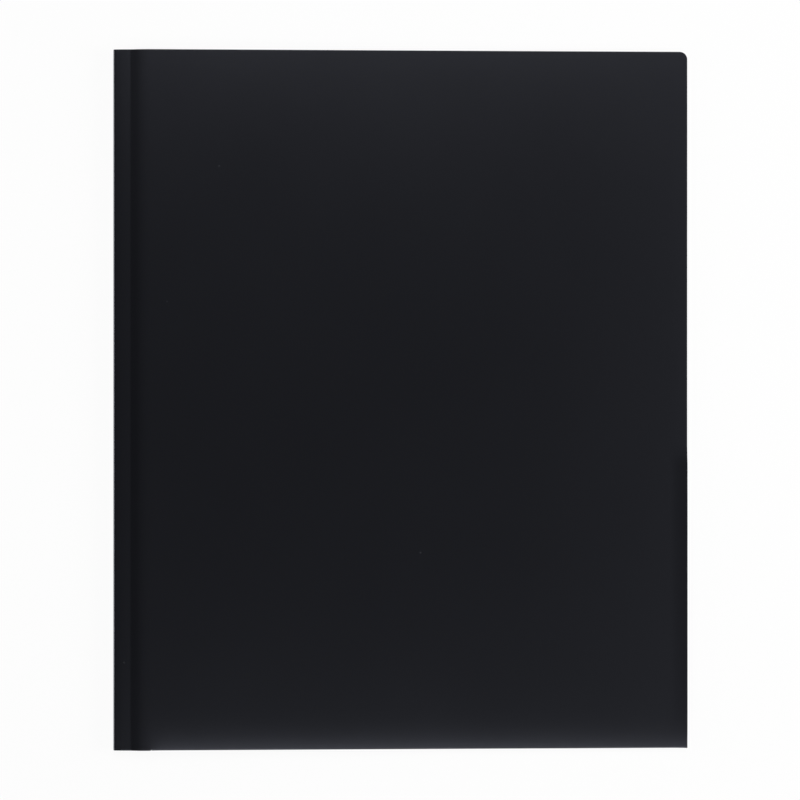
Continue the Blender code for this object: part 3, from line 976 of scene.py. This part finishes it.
def streak_group(name):
    """Fine rolling streaks along the length of a metal strip."""
    outputs = [("Height", "NodeSocketFloat"), ("Tone", "NodeSocketFloat")]
    group, entry, leave = new_group(name, [("Place", "NodeSocketVector")], outputs)
    place = entry.outputs["Place"]
    fine = stretched_noise(group, place, FINE_ROLLING)
    broad = stretched_noise(group, place, BROAD_ROLLING)
    group.links.new(fine, leave.inputs["Height"])
    group.links.new(broad, leave.inputs["Tone"])
    return group


def add_group(tree, name, build, place):
    """Puts a shared node group in a material, built the first time that it is asked for, and fed a place."""
    node = tree.nodes.new("ShaderNodeGroup")
    node.node_tree = bpy.data.node_groups.get(name) or build(name)
    tree.links.new(place, node.inputs["Place"])
    return node


def new_material(name):
    """A material with its nodes: the material, its node tree and its shader."""
    material = bpy.data.materials.new(name)
    material.use_nodes = True
    return material, material.node_tree, material.node_tree.nodes["Principled BSDF"]


def place_source(tree, attribute):
    """Where a pattern reads its place: a piece's places at rest, or its object's own coordinates."""
    if attribute:
        node = tree.nodes.new("ShaderNodeAttribute")
        node.attribute_name = attribute
        return node.outputs["Vector"]
    return tree.nodes.new("ShaderNodeTexCoord").outputs["Object"]


def mixed_colour(tree, factor, first, second):
    """A colour that goes from the first to the second as a factor goes from nought to one."""
    node = tree.nodes.new("ShaderNodeMix")
    node.data_type = "RGBA"
    tree.links.new(factor, node.inputs["Factor"])
    for socket, value in ((node.inputs["A"], first), (node.inputs["B"], second)):
        if isinstance(value, bpy.types.NodeSocket):
            tree.links.new(value, socket)
        else:
            socket.default_value = (*value, 1.0)
    return node.outputs["Result"]


def bump(tree, height, distance):
    """A normal that follows a height, with its full range standing a distance proud."""
    node = tree.nodes.new("ShaderNodeBump")
    node.inputs["Strength"].default_value = 1.0
    node.inputs["Distance"].default_value = distance
    tree.links.new(height, node.inputs["Height"])
    return node.outputs["Normal"]


def poly_material(name, tint):
    """Satin black poly with a fine grain, faint clouding, rubbed streaks, lint, and lighter cut edges: scuffing
    and painted highlight.
    """
    if name in bpy.data.materials:
        return bpy.data.materials[name]
    finish = bpy.context.scene.folder_finish
    material, tree, shader = new_material(name)
    place = place_source(tree, "rest_place")
    handling = add_group(tree, "handling", handling_group, place)
    grain = add_group(tree, "sheet_grain", grain_group, place)
    grain.inputs["Fineness"].default_value = 1 / finish.grain_size

    lighter = [CLOUD_LIGHTENING * part for part in tint]
    clouded = mixed_colour(tree, handling.outputs["Clouding"], tint, lighter)
    # The cut edges turn lighter grey, partly as scuffing and partly as a painted highlight
    edges = tree.nodes.new("ShaderNodeAttribute")
    edges.attribute_name = "edge_wear"
    scuffs_and_highlight = math_node(tree, "MULTIPLY", edges.outputs["Fac"], handling.outputs["Scuffing"])
    scuffed_and_highlit = mixed_colour(tree, scuffs_and_highlight, clouded, finish.scuffed_and_highlit)
    flecked = mixed_colour(tree, handling.outputs["Lint"], scuffed_and_highlit, finish.lint)
    tree.links.new(flecked, shader.inputs["Base Color"])
    shader.inputs["Specular Tint"].default_value = (*finish.sheen, 1.0)
    shader.inputs["Specular IOR Level"].default_value = finish.poly_gloss

    spread_out = (finish.poly_roughness - CLOUD_ROUGHNESS, finish.poly_roughness + CLOUD_ROUGHNESS)
    cloudy = ranged(tree, handling.outputs["Clouding"], MAIN_RANGE, spread_out)
    rubbed = math_node(tree, "MULTIPLY", handling.outputs["Rubbing"], RUBBED_ROUGHNESS)
    tree.links.new(math_node(tree, "ADD", cloudy, rubbed), shader.inputs["Roughness"])
    tree.links.new(bump(tree, grain.outputs["Height"], finish.grain_height), shader.inputs["Normal"])
    return material


def steel_material(name, finish, attribute=None):
    """Tin-plated steel strip with rolling streaks along its length."""
    material, tree, shader = new_material(name)
    streaks = add_group(tree, "rolling_streaks", streak_group, place_source(tree, attribute))
    darker = [STREAK_DARKENING * part for part in finish.steel]
    toned = mixed_colour(tree, streaks.outputs["Tone"], darker, finish.steel)
    tree.links.new(toned, shader.inputs["Base Color"])
    spread_out = (finish.steel_roughness - STREAK_SMOOTHER, finish.steel_roughness + STREAK_ROUGHER)
    streaked = ranged(tree, streaks.outputs["Tone"], MAIN_RANGE, spread_out)
    tree.links.new(streaked, shader.inputs["Roughness"])
    shader.inputs["Metallic"].default_value = 1.0
    tree.links.new(bump(tree, streaks.outputs["Height"], finish.streak_height), shader.inputs["Normal"])
    return material


def floor_material(studio):
    """A pale floor that looks white, in gloss too, and still takes the folder's shadow."""
    material, tree, shader = new_material("pale_floor")
    shader.inputs["Base Color"].default_value = (*studio.floor, 1.0)
    shader.inputs["Roughness"].default_value = 1.0
    shader.inputs["Specular IOR Level"].default_value = 0.0
    glow = tree.nodes.new("ShaderNodeEmission")
    path = tree.nodes.new("ShaderNodeLightPath")
    rays = [path.outputs[kind] for kind in ("Is Camera Ray", "Is Glossy Ray", "Is Transmission Ray")]
    seen = math_node(tree, "MAXIMUM", math_node(tree, "MAXIMUM", rays[0], rays[1]), rays[2])
    blend = tree.nodes.new("ShaderNodeMixShader")
    tree.links.new(math_node(tree, "MULTIPLY", seen, studio.floor_glow), blend.inputs[0])
    tree.links.new(shader.outputs["BSDF"], blend.inputs[1])
    tree.links.new(glow.outputs["Emission"], blend.inputs[2])
    tree.links.new(blend.outputs["Shader"], tree.nodes["Material Output"].inputs["Surface"])
    return material


# The studio


def slanted(bearing, lean):
    """A lamp's place at a bearing in degrees from +X, leaning in degrees from straight above."""
    turn, tilt = math.radians(bearing), math.radians(lean)
    across = Vector((math.cos(turn), math.sin(turn), 0.0)) * math.sin(tilt)
    return LAMP_DISTANCE * (across + Vector((0.0, 0.0, math.cos(tilt))))


class FOLDER_OT_studio(bpy.types.Operator):
    """Lays the floor, and sets the lights and the camera"""

    bl_idname = "folder.studio"
    bl_label = "Studio"

    def execute(self, context):
        studio = context.scene.folder_studio
        context.scene.view_settings.view_transform = "Standard"
        self.lay_floor(studio)
        self.set_surround(context.scene, studio)
        for side, (bearing, lean, size) in LAMPS.items():
            self.hang_lamp(f"{side}_lamp", slanted(bearing, lean), size, getattr(studio, f"{side}_power"))
        for name, (low_x, high_x) in CEILING_PANELS.items():
            self.hang_panel(name, low_x, high_x, getattr(studio, f"{name}_power"))
        self.set_camera(context.scene, studio)
        return {"FINISHED"}

    def lay_floor(self, studio):
        """Lays a wide floor whose rim sweeps up all round."""
        bpy.ops.object.select_all(action="DESELECT")
        bpy.ops.mesh.primitive_plane_add(size=FLOOR_WIDTH, location=(0.0, 0.0, FLOOR_LEVEL))
        floor = bpy.context.object
        floor.name = "floor"
        bpy.ops.object.transform_apply(location=True, rotation=True, scale=True)
        bpy.ops.object.mode_set(mode="EDIT")
        bpy.ops.mesh.select_mode(type="EDGE")
        bpy.ops.mesh.select_all(action="SELECT")
        bpy.ops.mesh.region_to_loop()
        extrude(z=SWEEP_HEIGHT)
        select(floor, "EDGE", at(z=FLOOR_LEVEL))
        bpy.ops.mesh.bevel(offset=SWEEP_ROUND, segments=SWEEP_STEPS, affect="EDGES")
        bpy.ops.object.mode_set(mode="OBJECT")
        bpy.ops.object.shade_smooth()
        floor.data.materials.append(floor_material(studio))

    def set_surround(self, scene, studio):
        """A dim surround that grows lighter towards the horizon, as the walls of a pale room do."""
        world = bpy.data.worlds.new("surround")
        world.use_nodes = True
        tree = world.node_tree
        coordinates = tree.nodes.new("ShaderNodeTexCoord")
        direction = tree.nodes.new("ShaderNodeSeparateXYZ")
        tree.links.new(coordinates.outputs["Generated"], direction.inputs["Vector"])
        low_down = ranged(tree, direction.outputs["Z"], (0.0, math.sin(WALL_ANGLE)), (1.0, 0.0))
        light = mixed_colour(tree, low_down, studio.surround, studio.walls)
        tree.links.new(light, tree.nodes["Background"].inputs["Color"])
        scene.world = world

    def hang_panel(self, name, low_x, high_x, watts):
        """Hangs a wide panel overhead that looks straight down, between two places along X."""
        place = Vector(((low_x + high_x) / 2, 0.0, LAMP_DISTANCE))
        size = (high_x - low_x, CEILING_LENGTH)
        self.hang_lamp(name, place, size, watts, Vector((place.x, 0.0, 0.0)))

    def hang_lamp(self, name, place, size, watts, target=Vector((0.0, 0.0, 0.0))):
        """Hangs a soft rectangular lamp that looks at a target."""
        bpy.ops.object.light_add(type="AREA", location=place)
        lamp = bpy.context.object
        lamp.name = name
        lamp.data.shape = "RECTANGLE"
        lamp.data.size, lamp.data.size_y = size
        lamp.data.energy = watts
        lamp.rotation_euler = (target - place).to_track_quat("-Z", "Y").to_euler()

    def set_camera(self, scene, studio):
        """Hangs the camera above the front cover, very slightly towards the spine, which is on the left."""
        place = (-studio.camera_aside, 0.0, CAD_HIGH.z + studio.camera_height)
        bpy.ops.object.camera_add(location=place, rotation=(0.0, -studio.camera_lean, 0.0))
        camera = bpy.context.object
        camera.name = "camera"
        camera.data.lens = camera.data.sensor_width * studio.camera_height / studio.picture_width
        scene.camera = camera


class FOLDER_PT_sidebar(bpy.types.Panel):
    """Lists the sizes, the finishes and the pieces"""

    bl_idname = "FOLDER_PT_sidebar"
    bl_label = "Folder"
    bl_space_type = "VIEW_3D"
    bl_region_type = "UI"
    bl_category = "Folder"

    def draw(self, context):
        for group in PROPERTIES:
            values = getattr(context.scene, group)
            column = self.layout.column(align=True)
            for name in values.__annotations__:
                column.prop(values, name)
        for operator in OPERATORS:
            self.layout.operator(operator.bl_idname)


PROPERTIES = {
    "folder_sheet": FolderSheet,
    "folder_fastener": FolderFastener,
    "folder_finish": FolderFinish,
    "folder_studio": FolderStudio,
}
OPERATORS = (
    FOLDER_OT_back_leaf,
    FOLDER_OT_spine_sheet,
    FOLDER_OT_front_leaf,
    FOLDER_OT_fastener_flap,
    FOLDER_OT_prongs,
    FOLDER_OT_crowns,
    FOLDER_OT_studio,
)


def register():
    """Registers the classes, and gives the scene its property groups."""
    for kind in (*PROPERTIES.values(), *OPERATORS, FOLDER_PT_sidebar):
        bpy.utils.register_class(kind)
    for name, group in PROPERTIES.items():
        setattr(bpy.types.Scene, name, bpy.props.PointerProperty(type=group))


def unregister():
    """Takes away what register added."""
    for name in PROPERTIES:
        delattr(bpy.types.Scene, name)
    for kind in (FOLDER_PT_sidebar, *reversed(OPERATORS), *reversed(PROPERTIES.values())):
        bpy.utils.unregister_class(kind)


def main():
    """Makes the pieces and the studio."""
    register()
    bpy.ops.folder.back_leaf()
    bpy.ops.folder.spine_sheet()
    bpy.ops.folder.front_leaf()
    bpy.ops.folder.fastener_flap()
    bpy.ops.folder.prongs()
    bpy.ops.folder.crowns()
    bpy.ops.folder.studio()


if __name__ == "__main__":
    main()
